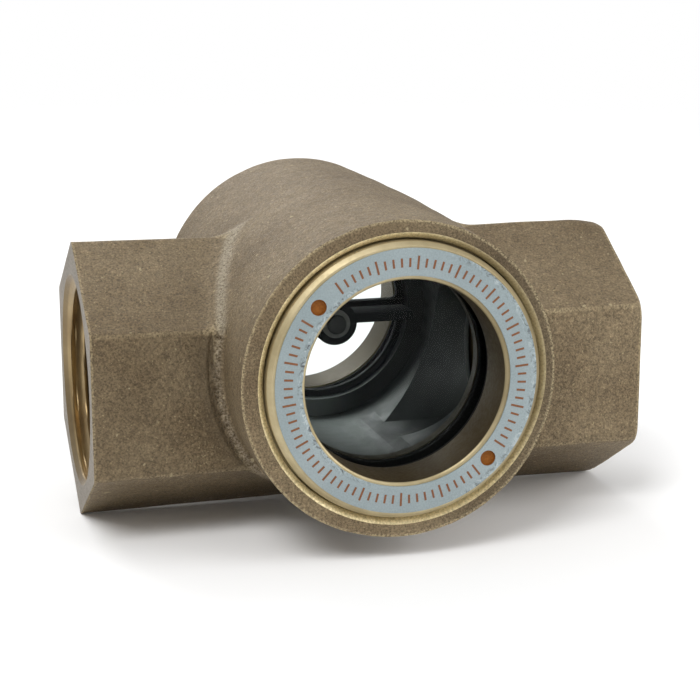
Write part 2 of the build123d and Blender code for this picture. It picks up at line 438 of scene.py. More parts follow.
def gradient(distance, points):
    """Direction in which a distance function grows, at each point."""
    parts = []
    for axis in range(3):
        shift = np.zeros(3)
        shift[axis] = GRADIENT_STEP
        parts.append(distance(points + shift) - distance(points - shift))
    direction = np.stack(parts, -1)
    return direction / np.linalg.norm(direction, axis=1)[:, None]


def crease(points):
    """How far each point of the skin is from the line where the bar meets the barrel."""
    hexagon, barrel = casting_parts(points)
    return hexagon - barrel


def flash_share(points):
    """1 along the lower left front of the junction, where the moulds left a ragged flash."""
    x, y, z = points.T
    top, bottom = pipe_z + FLASH_TOP, pipe_z + FLASH_BOTTOM
    along = np.clip((top - z) / 1.5, 0, 1) * np.clip((z - bottom) / 4, 0, 1)
    return along * (x < 0) * (y < 0)


def casting_relief(points):
    """How far the cast skin stands out: uneven sand, the flash and its broken gap."""
    relief = CAST_UNEVENNESS * value_noise(points, 7.0, 1)
    relief += 0.6 * CAST_UNEVENNESS * value_noise(points, 2.4, 2)
    from_middle = crease(points) - FLASH_MIDDLE
    ragged = 0.75 + 0.8 * value_noise(points, 1.2, 3) + 0.6 * value_noise(points, 0.55, 4)
    ridge = np.exp(-((from_middle / FLASH_HALF_WIDTH) ** 4))
    grooves = np.exp(-(((np.abs(from_middle) - FLASH_GROOVE_OFFSET) / FLASH_GROOVE_WIDTH) ** 2))
    gap = np.exp(-(((points[:, 2] - pipe_z - FLASH_GAP_HEIGHT) / FLASH_GAP_WIDTH) ** 2))
    flash = FLASH_HEIGHT * ridge * ragged - FLASH_GROOVE_DEPTH * grooves - FLASH_HEIGHT * gap * ridge
    return relief + flash_share(points) * flash


def refine(obj, chosen, cuts):
    """Divide the faces near chosen points, so that fine relief has points to stand on."""
    marked = chosen(read_points(obj.data))
    work = bmesh.new()
    work.from_mesh(obj.data)
    work.verts.ensure_lookup_table()
    faces = {face for vert in work.verts if marked[vert.index] for face in vert.link_faces}
    edges = list({edge for face in faces for edge in face.edges})
    bmesh.ops.subdivide_edges(work, edges=edges, cuts=cuts, use_grid_fill=True)
    work.to_mesh(obj.data)
    work.free()


def on_skin(points):
    """Points moved onto the plain skin of the casting."""
    for _ in range(3):
        points = points - gradient(casting_distance, points) * casting_distance(points)[:, None]
    return points


def build_body():
    """The whole casting: skin with relief, then every machined face cut into it."""
    reach = np.array([half_length, lip_distance, body_high[2]]) + 2 * SPARE
    points, quads = surface_net(casting_distance, -reach, reach, CAST_STEP)
    body = new_object("body_casting", on_skin(points), quads.tolist(), cast_bronze)
    refine(body, lambda skin: (flash_share(skin) > 0) & (np.abs(crease(skin)) < 3), 2)
    points = on_skin(read_points(body.data))
    points = points + gradient(casting_distance, points) * casting_relief(points)[:, None]
    points[:, 2] = np.clip(points[:, 2], body_low[2], body_high[2])
    write_points(body.data, points)
    for end in (-1, 1):
        subtract(body, end_cutter(end))
        subtract(body, port_cutter(end))
    subtract(body, window_cutter())
    smooth(body, 32)
    stand_for(body, "casting", "body")


def end_cutter(end):
    """A block that faces off one end of the hexagonal bar."""
    near, far = sorted((end * half_length, end * (half_length + 3 * SPARE)))
    side = 2 * HEX_ACROSS_FLATS
    corners = [(x, y, z) for x in (near, far) for y in (-side, side) for z in (-side, side)]
    faces = [(0, 1, 3, 2), (4, 6, 7, 5), (0, 4, 5, 1), (2, 3, 7, 6), (0, 2, 6, 4), (1, 5, 7, 3)]
    return new_object("end_cutter", corners, faces, faced_bronze)


def window_cutter():
    """The faced lips and everything bored along the sight axis, from lip to lip."""
    back_seat = rim_back - BRIDGE_RIM_THICKNESS
    bore_start = lip_distance - THREAD_BORE_DEPTH
    outside, beyond = LIP_RADIUS + 5, lip_distance + 3 * SPARE
    outline = [
        (0, -beyond),
        (outside, -beyond),
        (outside, -lip_distance),
        *[(radius, depth - lip_distance) for radius, depth in WORN_MOUTH],
        (THREAD_BORE_RADIUS, -bore_start),
        (SEAT_BORE_RADIUS, -bore_start),
        (SEAT_BORE_RADIUS, -front_seat),
        (LEDGE_BORE_RADIUS, -front_seat),
        (LEDGE_BORE_RADIUS, LEDGE_THICKNESS - front_seat),
        (CHAMBER_RADIUS, LEDGE_THICKNESS - front_seat),
        (CHAMBER_RADIUS, back_seat - LEDGE_THICKNESS),
        (LEDGE_BORE_RADIUS, back_seat - LEDGE_THICKNESS),
        (LEDGE_BORE_RADIUS, back_seat),
        (SEAT_BORE_RADIUS, back_seat),
        (SEAT_BORE_RADIUS, bore_start),
        (THREAD_BORE_RADIUS, bore_start),
        *[(radius, lip_distance - depth) for radius, depth in reversed(WORN_MOUTH)],
        (outside, lip_distance),
        (outside, beyond),
        (0, beyond),
    ]
    cutter = turned("window_cutter", outline, machined_bronze, closed=False)
    paint(cutter, lip_bronze, lambda x, y, z: np.abs(y) > lip_distance - TOUCH)
    paint(cutter, bore_bronze, lambda x, y, z: np.abs(y) < bore_start + TOUCH)
    paint(cutter, wet_bronze, lambda x, y, z: np.abs(y) < front_seat - LEDGE_THICKNESS + TOUCH)
    return cutter


def port_cutter(end):
    """Chamfered mouth, tapered helical thread and waterway of one pipe end."""
    segments = 128
    rows_per_turn = 10
    rows = [(-2.0, PORT_MOUTH_RADIUS + 2.0, 0), (0.0, PORT_MOUTH_RADIUS, 0)]
    depth = PORT_BEVEL
    while depth < PORT_THREAD_END:
        share = min((depth - PORT_BEVEL) / (THREAD_RUN_IN - PORT_BEVEL), 1)
        pitch_line = THREAD_PITCH_RADIUS - THREAD_TAPER * (depth - THREAD_GAUGE_DEPTH)
        radius = PORT_MOUTH_RADIUS - PORT_BEVEL + (pitch_line - PORT_MOUTH_RADIUS + PORT_BEVEL) * share
        rows.append((depth, radius, min(0.2 + 1.6 * share, 1)))
        depth += THREAD_PITCH / rows_per_turn
    rows.append((WATERWAY_START, WATERWAY_RADIUS, 0))
    rows.append((half_length - 2, WATERWAY_RADIUS, 0))
    points, faces = [], []
    for depth, radius, threaded in rows:
        for k in range(segments):
            angle = 2 * pi * k / segments
            turn = (depth / THREAD_PITCH - k / segments) % 1
            ridge = np.clip(abs(turn - 0.5) * 4 - 1, -0.8, 0.8) / 0.8
            reach = radius + threaded * ridge * THREAD_DEPTH / 2
            x = end * (half_length - depth)
            points.append((x, reach * cos(angle), pipe_z + reach * sin(angle)))
    for row in range(len(rows) - 1):
        low, high = row * segments, (row + 1) * segments
        for k in range(segments):
            m = (k + 1) % segments
            faces.append((low + k, low + m, high + m, high + k))
    for row in (0, len(rows) - 1):
        points.append((end * (half_length - rows[row][0]), 0, pipe_z))
        for k in range(segments):
            m = (k + 1) % segments
            faces.append((len(points) - 1, row * segments + k, row * segments + m))
    cutter = new_object("port_cutter", points, faces, thread_bronze)
    paint(cutter, wet_bronze, lambda x, y, z: np.abs(x) < half_length - PORT_THREAD_END)
    return cutter


# ---------------------------------------------------------------- materials


class Shader:
    """A node material under construction, with short calls for the nodes used here."""

    def __init__(self, name, color=(0.5, 0.5, 0.5), metallic=0.0, roughness=0.5):
        self.material = bpy.data.materials.new(name)
        self.material.use_nodes = True
        self.nodes = self.material.node_tree.nodes
        self.links = self.material.node_tree.links
        self.surface = self.nodes["Principled BSDF"]
        self.surface.inputs["Base Color"].default_value = (*color, 1)
        self.surface.inputs["Metallic"].default_value = metallic
        self.surface.inputs["Roughness"].default_value = roughness
        self.place = self.nodes.new("ShaderNodeTexCoord").outputs["Object"]
        split = self.nodes.new("ShaderNodeSeparateXYZ")
        self.links.new(self.place, split.inputs[0])
        self.x, self.y, self.z = (self.math("DIVIDE", split.outputs[k], MM) for k in range(3))

    def noise(self, scale, detail, roughness, distortion=0.0):
        """Noise of the given scale per metre, as a value between 0 and 1."""
        node = self.nodes.new("ShaderNodeTexNoise")
        node.inputs["Scale"].default_value = scale
        node.inputs["Detail"].default_value = detail
        node.inputs["Roughness"].default_value = roughness
        node.inputs["Distortion"].default_value = distortion
        self.links.new(self.place, node.inputs["Vector"])
        return node.outputs["Fac"]

    def ramp(self, value, stops):
        """Colours or greys placed along a value."""
        node = self.nodes.new("ShaderNodeValToRGB")
        elements = node.color_ramp.elements
        while len(elements) < len(stops):
            elements.new(0.5)
        for element, (position, color) in zip(elements, stops):
            element.position = position
            element.color = (*color, 1) if isinstance(color, tuple) else (color, color, color, 1)
        self.links.new(value, node.inputs["Fac"])
        return node.outputs["Color"]

    def mix(self, amount, first, second, blend="MIX"):
        """Mix two colours, each a socket or a plain colour, by a socket or a number."""
        node = self.nodes.new("ShaderNodeMix")
        node.data_type = "RGBA"
        node.blend_type = blend
        self.feed(node.inputs[0], amount)
        self.feed(node.inputs[6], first)
        self.feed(node.inputs[7], second)
        return node.outputs[2]

    def math(self, operation, first, second=0.0):
        """A sum on one or two sockets or numbers."""
        node = self.nodes.new("ShaderNodeMath")
        node.operation = operation
        self.feed(node.inputs[0], first)
        self.feed(node.inputs[1], second)
        return node.outputs[0]

    def step(self, value, low, high):
        """0 where a value is at the low end, 1 at the high end, smooth between."""
        node = self.nodes.new("ShaderNodeMapRange")
        node.interpolation_type = "SMOOTHSTEP"
        self.feed(node.inputs["Value"], value)
        node.inputs["From Min"].default_value = min(low, high)
        node.inputs["From Max"].default_value = max(low, high)
        node.inputs["To Min"].default_value = float(low > high)
        node.inputs["To Max"].default_value = float(low < high)
        return node.outputs["Result"]

    def band(self, value, rise_start, rise_end, fall_start, fall_end):
        """1 inside a band of a value and 0 outside, smooth at both edges."""
        return self.times(self.step(value, rise_start, rise_end), self.step(value, fall_end, fall_start))

    def wear(self, value, edge, depths):
        """0 far in from an edge and 1 at it, between two depths from the edge."""
        return self.step(value, edge - depths[0], edge - depths[1])

    def height(self, middle, low, high):
        """0 at the low end and 1 at the high end of heights measured from a middle."""
        return self.step(self.z, middle + low, middle + high)

    def reach(self, first, second, centre):
        """Distance in millimetres from an axis, given the second coordinate of its centre."""
        off = self.math("SUBTRACT", second, centre)
        squares = self.math("ADD", self.math("MULTIPLY", first, first), self.math("MULTIPLY", off, off))
        return self.math("SQRT", squares)

    def times(self, *values):
        """Product of several values."""
        total = values[0]
        for value in values[1:]:
            total = self.math("MULTIPLY", total, value)
        return total

    def feed(self, socket, value):
        """Link a socket or set a number or colour."""
        if isinstance(value, bpy.types.NodeSocket):
            self.links.new(value, socket)
        elif isinstance(value, tuple):
            socket.default_value = (*value, 1)
        else:
            socket.default_value = value

    def color(self, value):
        """Set the base colour."""
        self.feed(self.surface.inputs["Base Color"], value)

    def roughness(self, value):
        """Set the roughness."""
        self.feed(self.surface.inputs["Roughness"], value)

    def bump(self, *layers):
        """Stack height layers, each (value, depth in metres, strength)."""
        normal = None
        for height, depth, strength in layers:
            node = self.nodes.new("ShaderNodeBump")
            node.inputs["Distance"].default_value = depth
            node.inputs["Strength"].default_value = strength
            self.links.new(height, node.inputs["Height"])
            if normal:
                self.links.new(normal, node.inputs["Normal"])
            normal = node.outputs["Normal"]
        self.links.new(normal, self.surface.inputs["Normal"])


def sandy(shader, dark, light):
    """Sand-cast grain: a slow change of tone, fine dark and light grains, golden specks."""
    grain = shader.noise(2800, 4, 0.72)
    broad = shader.noise(60, 4, 0.55)
    tone = shader.ramp(broad, [(0.3, dark), (0.7, light)])
    grains = shader.ramp(grain, [(0.34, 0.5), (0.5, 0.96), (0.68, 1.55)])
    color = shader.mix(1.0, tone, grains, "MULTIPLY")
    mottle = shader.ramp(shader.noise(800, 3, 0.6), [(0.3, 0.86), (0.7, 1.14)])
    color = shader.mix(1.0, color, mottle, "MULTIPLY")
    specks = shader.step(shader.noise(2100, 2, 0.8), 0.62, 0.7)
    color = shader.mix(shader.math("MULTIPLY", specks, 0.65), color, (0.42, 0.34, 0.19))
    flecks = shader.step(shader.noise(900, 0, 0.5), 0.8, 0.86)
    return grain, shader.mix(flecks, color, (0.36, 0.3, 0.18))


def make_cast_bronze():
    """The cast skin: brown and grainy, with worn edges, a painted highlight on the upper fillet, painted
    shade on the flats below the junction and a pale crust on the flash.
    """
    shader = Shader("cast_bronze", metallic=0.5, roughness=0.58)
    grain, color = sandy(shader, (0.146, 0.104, 0.056), (0.218, 0.166, 0.098))
    coarse = shader.noise(700, 4, 0.6)
    from_pipe = shader.reach(shader.y, shader.z, pipe_z)
    from_sight = shader.reach(shader.x, shader.z, sight_z)
    along_x, along_y = shader.math("ABSOLUTE", shader.x), shader.math("ABSOLUTE", shader.y)
    ridge_draft = HEX_DRAFT * 1.15
    drafted = shader.math("ADD", from_pipe, shader.math("MULTIPLY", along_x, -ridge_draft))
    peak = HEX_ACROSS_FLATS / 2 / cos(pi / 6) - half_length * ridge_draft
    ridges = shader.times(shader.wear(drafted, peak, WORN_RIDGE), shader.step(from_sight, *RIDGE_START))
    ends = shader.wear(along_x, half_length, WORN_END)
    lips = shader.wear(along_y, lip_distance, WORN_EDGE)
    worn = shader.math("MAXIMUM", shader.math("MAXIMUM", ridges, ends), lips)
    worn = shader.times(worn, shader.step(grain, 0.36, 0.6), 0.6)
    color = shader.mix(worn, color, (0.42, 0.34, 0.2))
    fillet = shader.band(from_sight, *FILLET_BAND)
    # Painted highlight: a pale band along the upper fillet, where the bar meets the barrel.
    pale = shader.times(fillet, shader.height(pipe_z, *FILLET_HIGHLIGHT_RISE), shader.step(grain, 0.3, 0.66), 0.7)
    color = shader.mix(pale, color, (0.42, 0.38, 0.29))
    # Painted shade: a dark band on the flats beside the junction, below the upper fillet.
    crease_shade = shader.times(shader.band(from_sight, *CREASE_SHADE_BAND), shader.height(pipe_z, *CREASE_SHADE_RISE), 0.5)
    color = shader.mix(crease_shade, color, (0.08, 0.057, 0.03))
    crust = shader.times(fillet, shader.step(shader.x, -10.0, -12.0), shader.step(shader.y, -6.0, -8.0))
    crust = shader.times(crust, shader.height(pipe_z, *CRUST_RISE), shader.step(grain, 0.4, 0.62), 0.55)
    color = shader.mix(crust, color, (0.38, 0.33, 0.25))
    shader.color(color)
    shader.roughness(shader.ramp(coarse, [(0.3, 0.66), (0.75, 0.5)]))
    shader.bump((coarse, 0.0003, 0.35), (grain, 0.00025, 0.85))
    return shader.material


def make_lip_bronze():
    """Faces of the two lips: rough and grainy, with more gold in them, and painted shade that darkens them
    towards the right.
    """
    shader = Shader("lip_bronze", metallic=0.6, roughness=0.5)
    grain, color = sandy(shader, (0.118, 0.083, 0.046), (0.204, 0.155, 0.09))
    shift = shader.math("MULTIPLY", shader.step(shader.y, 1.0, -1.0), LIP_SHIFT)
    along_rim = shader.reach(shader.math("SUBTRACT", shader.x, shift), shader.z, sight_z)
    # Painted shade: the lip faces darken from left to right.
    across = shader.ramp(shader.step(shader.x, -8.0, 20.0), [(0.0, 1.08), (1.0, 0.76)])
    color = shader.mix(1.0, color, across, "MULTIPLY")
    rim = shader.wear(along_rim, LIP_RADIUS, WORN_RIM)
    worn = shader.times(rim, shader.step(grain, 0.38, 0.6), 0.7)
    color = shader.mix(worn, color, (0.45, 0.37, 0.22))
    shader.color(color)
    shader.roughness(shader.ramp(grain, [(0.3, 0.6), (0.7, 0.42)]))
    shader.bump((grain, 0.0003, 0.9))
    return shader.material


def make_faced_bronze():
    """Turned end faces of the hexagons: greyish brown with faint tool arcs."""
    shader = Shader("faced_bronze", metallic=0.5, roughness=0.5)
    fine = shader.noise(2200, 4, 0.65)
    broad = shader.noise(90, 3, 0.6)
    color = shader.ramp(broad, [(0.3, (0.15, 0.124, 0.09)), (0.7, (0.21, 0.178, 0.135))])
    color = shader.mix(1.0, color, shader.ramp(fine, [(0.3, 0.75), (0.7, 1.25)]), "MULTIPLY")
    shader.color(color)
    shader.roughness(shader.ramp(fine, [(0.3, 0.58), (0.7, 0.42)]))
    from_pipe = shader.reach(shader.y, shader.z, pipe_z)
    arcs = shader.math("SINE", shader.math("MULTIPLY", from_pipe, 22.0))
    shader.bump((arcs, 0.00002, 0.35), (fine, 0.00015, 0.5))
    return shader.material


def make_machined_bronze():
    """Freshly turned mouths of the window bores: pale gold with fine tool lines."""
    shader = Shader("machined_bronze", metallic=0.3, roughness=0.36)
    fine = shader.noise(2600, 4, 0.6)
    broad = shader.noise(120, 3, 0.6)
    color = shader.ramp(broad, [(0.3, (0.54, 0.435, 0.225)), (0.7, (0.74, 0.62, 0.36))])
    color = shader.mix(1.0, color, shader.ramp(fine, [(0.32, 0.55), (0.6, 1.1)]), "MULTIPLY")
    # Painted shade towards the right side.
    shader.color(side_shade(shader, color))
    shader.roughness(shader.ramp(fine, [(0.3, 0.5), (0.7, 0.3)]))
    shader.bump((fine, 0.0001, 0.5))
    return shader.material


def make_bore_bronze():
    """Deeper steps of the window bores: machined, but stained dark."""
    shader = Shader("bore_bronze", metallic=0.5, roughness=0.45)
    fine = shader.noise(1800, 4, 0.6)
    broad = shader.noise(120, 3, 0.6)
    shader.color(shader.ramp(broad, [(0.3, (0.045, 0.037, 0.024)), (0.7, (0.085, 0.07, 0.045))]))
    shader.roughness(shader.ramp(fine, [(0.3, 0.38), (0.7, 0.58)]))
    shader.bump((fine, 0.00008, 0.35))
    return shader.material


def make_thread_bronze():
    """Pipe threads: golden flanks and crests, painted shade in the roots."""
    shader = Shader("thread_bronze", metallic=0.85, roughness=0.38)
    fine = shader.noise(1900, 4, 0.65)
    broad = shader.noise(140, 3, 0.6)
    color = shader.ramp(broad, [(0.3, (0.25, 0.175, 0.085)), (0.7, (0.40, 0.30, 0.155))])
    from_pipe = shader.reach(shader.y, shader.z, pipe_z)
    depth = shader.math("SUBTRACT", half_length, shader.math("ABSOLUTE", shader.x))
    pitch_line = shader.math("ADD", from_pipe, shader.math("MULTIPLY", depth, THREAD_TAPER))
    root = THREAD_PITCH_RADIUS + THREAD_GAUGE_DEPTH * THREAD_TAPER
    # Painted shade: the thread roots are darkened.
    root_shade = shader.times(shader.step(pitch_line, root - 0.1, root + 0.75), shader.step(depth, 2.0, 3.6))
    color = shader.mix(shader.times(root_shade, 0.8), color, (0.06, 0.042, 0.022))
    color = shader.mix(shader.times(shader.step(depth, 0.9, 0.6), 0.6), color, (0.16, 0.12, 0.07))
    shader.color(color)
    shader.roughness(shader.ramp(fine, [(0.3, 0.48), (0.7, 0.3)]))
    shader.bump((fine, 0.0001, 0.45))
    return shader.material


def make_wet_bronze():
    """Inside of the chamber and waterways: cast, dull and nearly black, with a pale patch low on the left
    that is painted light and mineral film.
    """
    shader = Shader("wet_bronze", metallic=0.25, roughness=0.42)
    coarse = shader.noise(500, 5, 0.6)
    broad = shader.noise(60, 3, 0.6, 0.4)
    color = shader.ramp(broad, [(0.3, (0.012, 0.015, 0.015)), (0.7, (0.038, 0.044, 0.042))])
    # Painted light: a pale grey-green patch low on the left stands for light through the front window and
    # for a mineral film.
    film_and_painted_light = shader.times(shader.step(shader.x, 8.0, -2.0), shader.height(sight_z, 0, -8))
    color = shader.mix(shader.times(film_and_painted_light, 0.95), color, (0.19, 0.215, 0.205))
    shader.color(color)
    shader.roughness(shader.ramp(coarse, [(0.3, 0.4), (0.7, 0.6)]))
    shader.bump((coarse, 0.0002, 0.4))
    return shader.material


def side_shade(shader, color):
    """Painted shade: darker, browner metal towards the right side of the window rings."""
    share = shader.times(shader.step(shader.x, -4.0, 15.0), shader.height(sight_z, -24, 2))
    return shader.mix(shader.times(share, 0.6), color, (0.15, 0.115, 0.055))


def make_brass():
    """Turned brass of the retaining rings."""
    shader = Shader("turned_brass", metallic=0.72, roughness=0.28)
    fine = shader.noise(1800, 3, 0.6)
    broad = shader.noise(160, 3, 0.6)
    color = shader.ramp(broad, [(0.3, (0.36, 0.295, 0.165)), (0.7, (0.52, 0.44, 0.27))])
    # Painted shade towards the right side.
    shader.color(side_shade(shader, color))
    shader.roughness(shader.ramp(fine, [(0.3, 0.44), (0.7, 0.58)]))
    shader.bump((fine, 0.00006, 0.3))
    return shader.material


def make_dull_shaded_brass():
    """Bore walls of the retaining rings and the slip rings: tarnished dark olive, darkened further as
    painted shade.
    """
    shader = Shader("dull_shaded_brass", metallic=0.55, roughness=0.5)
    fine = shader.noise(1500, 4, 0.6)
    broad = shader.noise(110, 3, 0.6)
    shader.color(shader.ramp(broad, [(0.3, (0.062, 0.044, 0.021)), (0.7, (0.1, 0.074, 0.038))]))
    shader.roughness(shader.ramp(fine, [(0.3, 0.42), (0.7, 0.6)]))
    shader.bump((fine, 0.00006, 0.3))
    return shader.material


def make_hole_paint():
    """Orange-brown sealing paint at the bottom of the spanner holes."""
    shader = Shader("hole_paint", roughness=0.6)
    shader.surface.inputs["Specular IOR Level"].default_value = 0.2
    fine = shader.noise(2500, 3, 0.6)
    shader.color(shader.ramp(fine, [(0.3, (0.19, 0.06, 0.006)), (0.7, (0.27, 0.09, 0.011))]))
    shader.bump((fine, 0.00005, 0.3))
    return shader.material


def make_label():
    """Pale blue-grey foil with faint mottling, scuffed along its left inner edge."""
    shader = Shader("label_face", metallic=0.15, roughness=0.4)
    fine = shader.noise(3500, 3, 0.7)
    cloud = shader.noise(90, 3, 0.5)
    base = shader.ramp(cloud, [(0.3, (0.225, 0.275, 0.285)), (0.7, (0.275, 0.325, 0.335))])
    color = shader.mix(1.0, base, shader.ramp(fine, [(0.3, 0.86), (0.7, 1.1)]), "MULTIPLY")
    from_sight = shader.reach(shader.x, shader.z, sight_z)
    scratches = shader.noise(750, 5, 0.7, 1.5)
    inner = shader.times(shader.step(from_sight, *INNER_SCUFF), shader.step(shader.x, -4.0, -11.0))
    outer = shader.times(shader.step(from_sight, *OUTER_SCUFF), shader.step(shader.x, 4.0, 12.0), 0.7)
    scuffed = shader.math("MAXIMUM", inner, outer)
    dark = shader.times(scuffed, shader.step(scratches, 0.53, 0.6))
    light = shader.times(scuffed, shader.step(scratches, 0.46, 0.4), 0.4)
    color = shader.mix(dark, color, (0.07, 0.075, 0.08))
    color = shader.mix(light, color, (0.62, 0.66, 0.68))
    shader.color(color)
    shader.roughness(shader.ramp(cloud, [(0.3, 0.34), (0.7, 0.48)]))
    shader.bump((scratches, 0.00006, 0.4), (fine, 0.00003, 0.3))
    return shader.material


def make_mark():
    """Brown-orange of the label's printed marks."""
    shader = Shader("label_mark", roughness=0.45)
    fine = shader.noise(4000, 2, 0.6)
    shader.color(shader.ramp(fine, [(0.3, (0.13, 0.042, 0.01)), (0.7, (0.19, 0.065, 0.018))]))
    return shader.material


def make_rubber():
    """Black gasket rubber."""
    shader = Shader("black_rubber", roughness=0.75)
    shader.surface.inputs["Specular IOR Level"].default_value = 0.12
    fine = shader.noise(2500, 3, 0.6)
    shader.color(shader.ramp(fine, [(0.3, (0.008, 0.008, 0.008)), (0.7, (0.02, 0.02, 0.02))]))
    shader.bump((fine, 0.00006, 0.3))
    return shader.material


def make_black_plastic():
    """Moulded black plastic of the rotor and its bridge."""
    shader = Shader("black_plastic", roughness=0.65)
    shader.surface.inputs["Specular IOR Level"].default_value = 0.12
    fine = shader.noise(1500, 3, 0.6)
    shader.color(shader.ramp(fine, [(0.3, (0.004, 0.005, 0.006)), (0.7, (0.009, 0.01, 0.011))]))
    shader.roughness(shader.ramp(fine, [(0.3, 0.6), (0.7, 0.78)]))
    shader.bump((fine, 0.00005, 0.25))
    return shader.material


def make_dark_steel():
    """Stainless steel of the axle pin, stained dark by the water."""
    shader = Shader("dark_steel", metallic=0.8, roughness=0.45)
    fine = shader.noise(2500, 3, 0.6)
    shader.color(shader.ramp(fine, [(0.3, (0.035, 0.036, 0.035)), (0.7, (0.06, 0.061, 0.058))]))
    shader.bump((fine, 0.00004, 0.3))
    return shader.material


def make_pale_plastic():
    """Natural grey-white plastic of the thrust washers."""
    shader = Shader("pale_plastic", roughness=0.4)
    fine = shader.noise(1500, 3, 0.6)
    shader.color(shader.ramp(fine, [(0.3, (0.16, 0.16, 0.145)), (0.7, (0.22, 0.215, 0.195))]))
    shader.bump((fine, 0.00004, 0.3))
    return shader.material


def make_glass():
    """Clear window glass with a faint haze of handling marks."""
    shader = Shader("window_glass", color=(0.93, 0.96, 0.95), roughness=0.0)
    shader.surface.inputs["IOR"].default_value = 1.5
    shader.surface.inputs["Transmission Weight"].default_value = 1.0
    shader.surface.inputs["Specular Tint"].default_value = (0.06, 0.065, 0.065, 1)
    haze = shader.noise(220, 5, 0.65, 0.6)
    shader.roughness(shader.ramp(haze, [(0.45, 0.0), (0.75, 0.04)]))
    see_through = shader.nodes.new("ShaderNodeBsdfTransparent")
    see_through.inputs["Color"].default_value = (0.9, 0.93, 0.92, 1)
    light_path = shader.nodes.new("ShaderNodeLightPath")
    blend = shader.nodes.new("ShaderNodeMixShader")
    shader.links.new(light_path.outputs["Is Shadow Ray"], blend.inputs["Fac"])
    shader.links.new(shader.surface.outputs["BSDF"], blend.inputs[1])
    shader.links.new(see_through.outputs["BSDF"], blend.inputs[2])
    shader.links.new(blend.outputs["Shader"], shader.nodes["Material Output"].inputs["Surface"])
    return shader.material


cast_bronze = make_cast_bronze()
lip_bronze = make_lip_bronze()
faced_bronze = make_faced_bronze()
machined_bronze = make_machined_bronze()
bore_bronze = make_bore_bronze()
thread_bronze = make_thread_bronze()
wet_bronze = make_wet_bronze()
brass = make_brass()
dull_shaded_brass = make_dull_shaded_brass()
hole_paint = make_hole_paint()
label_face = make_label()
label_mark = make_mark()
rubber = make_rubber()
black_plastic = make_black_plastic()
dark_steel = make_dark_steel()
pale_plastic = make_pale_plastic()
window_glass = make_glass()


# ---------------------------------------------------------------- pieces


def stand_for(piece, slot, *nodes, body="casing"):
    """Ride on a body and stand for CAD nodes, which are hidden. The slot is not used."""
    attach(piece, body)
    if nodes:
        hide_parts(*nodes)


def drill_spanner_holes(ring, way, top, bottom, material):
    """Two round holes across the ring, from above its face down to a depth."""
    for angle in SPANNER_ANGLES:
        x = SPANNER_PITCH_RADIUS * cos(angle)
        z = sight_z - way * SPANNER_PITCH_RADIUS * sin(angle)
        radius = SPANNER_HOLE_RADIUS
        outline = [(0, top), (radius, top), (radius, bottom), (0, bottom)]
        subtract(ring, turned("hole_cutter", outline, material, (x, z), 48, closed=False))


def build_retainer(side, way):
    """A turned retaining ring: a skirt where its thread is, a chamfered head, spanner holes."""
    start, face = -retainer_high[1] * way, -retainer_low[1] * way
    skirt_end = start + way * RETAINER_THREAD_LENGTH
    thread_radius = retainer_high[0]
    corners = [
        (RETAINER_BORE_RADIUS, start),
        (thread_radius - RETAINER_SKIRT_CHAMFER, start),
        (thread_radius, start + way * RETAINER_SKIRT_CHAMFER),
        (thread_radius, skirt_end),
        (RETAINER_HEAD_RADIUS, skirt_end),
        (RETAINER_HEAD_RADIUS, face - way * RETAINER_EDGE_CHAMFER),
        (RETAINER_HEAD_RADIUS - RETAINER_EDGE_CHAMFER, face),
        (RETAINER_BORE_RADIUS + RETAINER_BORE_CHAMFER, face),
        (RETAINER_BORE_RADIUS, face - way * RETAINER_BORE_CHAMFER),
    ]
    ring = turned(f"{side}_retainer_ring", rounded_outline(corners, 0.1, 3), brass)
    bore = RETAINER_BORE_RADIUS + TOUCH
    # The bore wall takes the dark brass: tarnish, and painted shade of the bore.
    paint(ring, dull_shaded_brass, lambda x, y, z: np.hypot(x, z - sight_z) < bore)
    drill_spanner_holes(ring, way, face + way, face - way * SPANNER_HOLE_DEPTH, hole_paint)
    smooth(ring)
    stand_for(ring, "retainer", f"{side}_retainer")


def build_label(side, way):
    """The foil label ring, stuck on a little off centre, its left inner edge crinkled."""
    back, face = -label_high[1] * way, -label_low[1] * way
    near = face - way * LABEL_SPARE
    outer = label_high[0]
    corners = [(LABEL_INNER_RADIUS, back), (outer, back), (outer, near), (LABEL_INNER_RADIUS + 1.4, near)]
    corners += [(LABEL_INNER_RADIUS + 0.7, near), (LABEL_INNER_RADIUS, near)]
    ring = turned(f"{side}_label_ring", rounded_outline(corners, 0.05, 2), label_face, segments=360)
    points = read_points(ring.data)
    across, up = points[:, 0], points[:, 2] - sight_z
    radius = np.hypot(across, up)
    share = np.clip((LABEL_INNER_RADIUS + CRINKLE_WIDTH - radius) / CRINKLE_WIDTH, 0, 1)
    share *= np.clip((-4 - across) / 5, 0, 1)
    flat = np.stack([across, np.zeros(len(across)), up], -1)
    ragged = 0.5 * value_noise(flat, 1.3, 5) + 0.5 * value_noise(flat, 0.55, 6)
    grow = 1 + share * (CRINKLE_DEPTH * ragged + 0.02) / radius
    lift = share * np.clip(value_noise(flat, 0.8, 7), -1, 1) * CRINKLE_LIFT
    points[:, 0] = across * grow + LABEL_SHIFT
    points[:, 2] = sight_z + up * grow
    points[:, 1] -= way * np.abs(lift) * (np.abs(points[:, 1] - back) > 0.05)
    write_points(ring.data, points)
    drill_spanner_holes(ring, way, face + way, back - way, label_face)
    smooth(ring)
    stand_for(ring, "label", f"{side}_label")


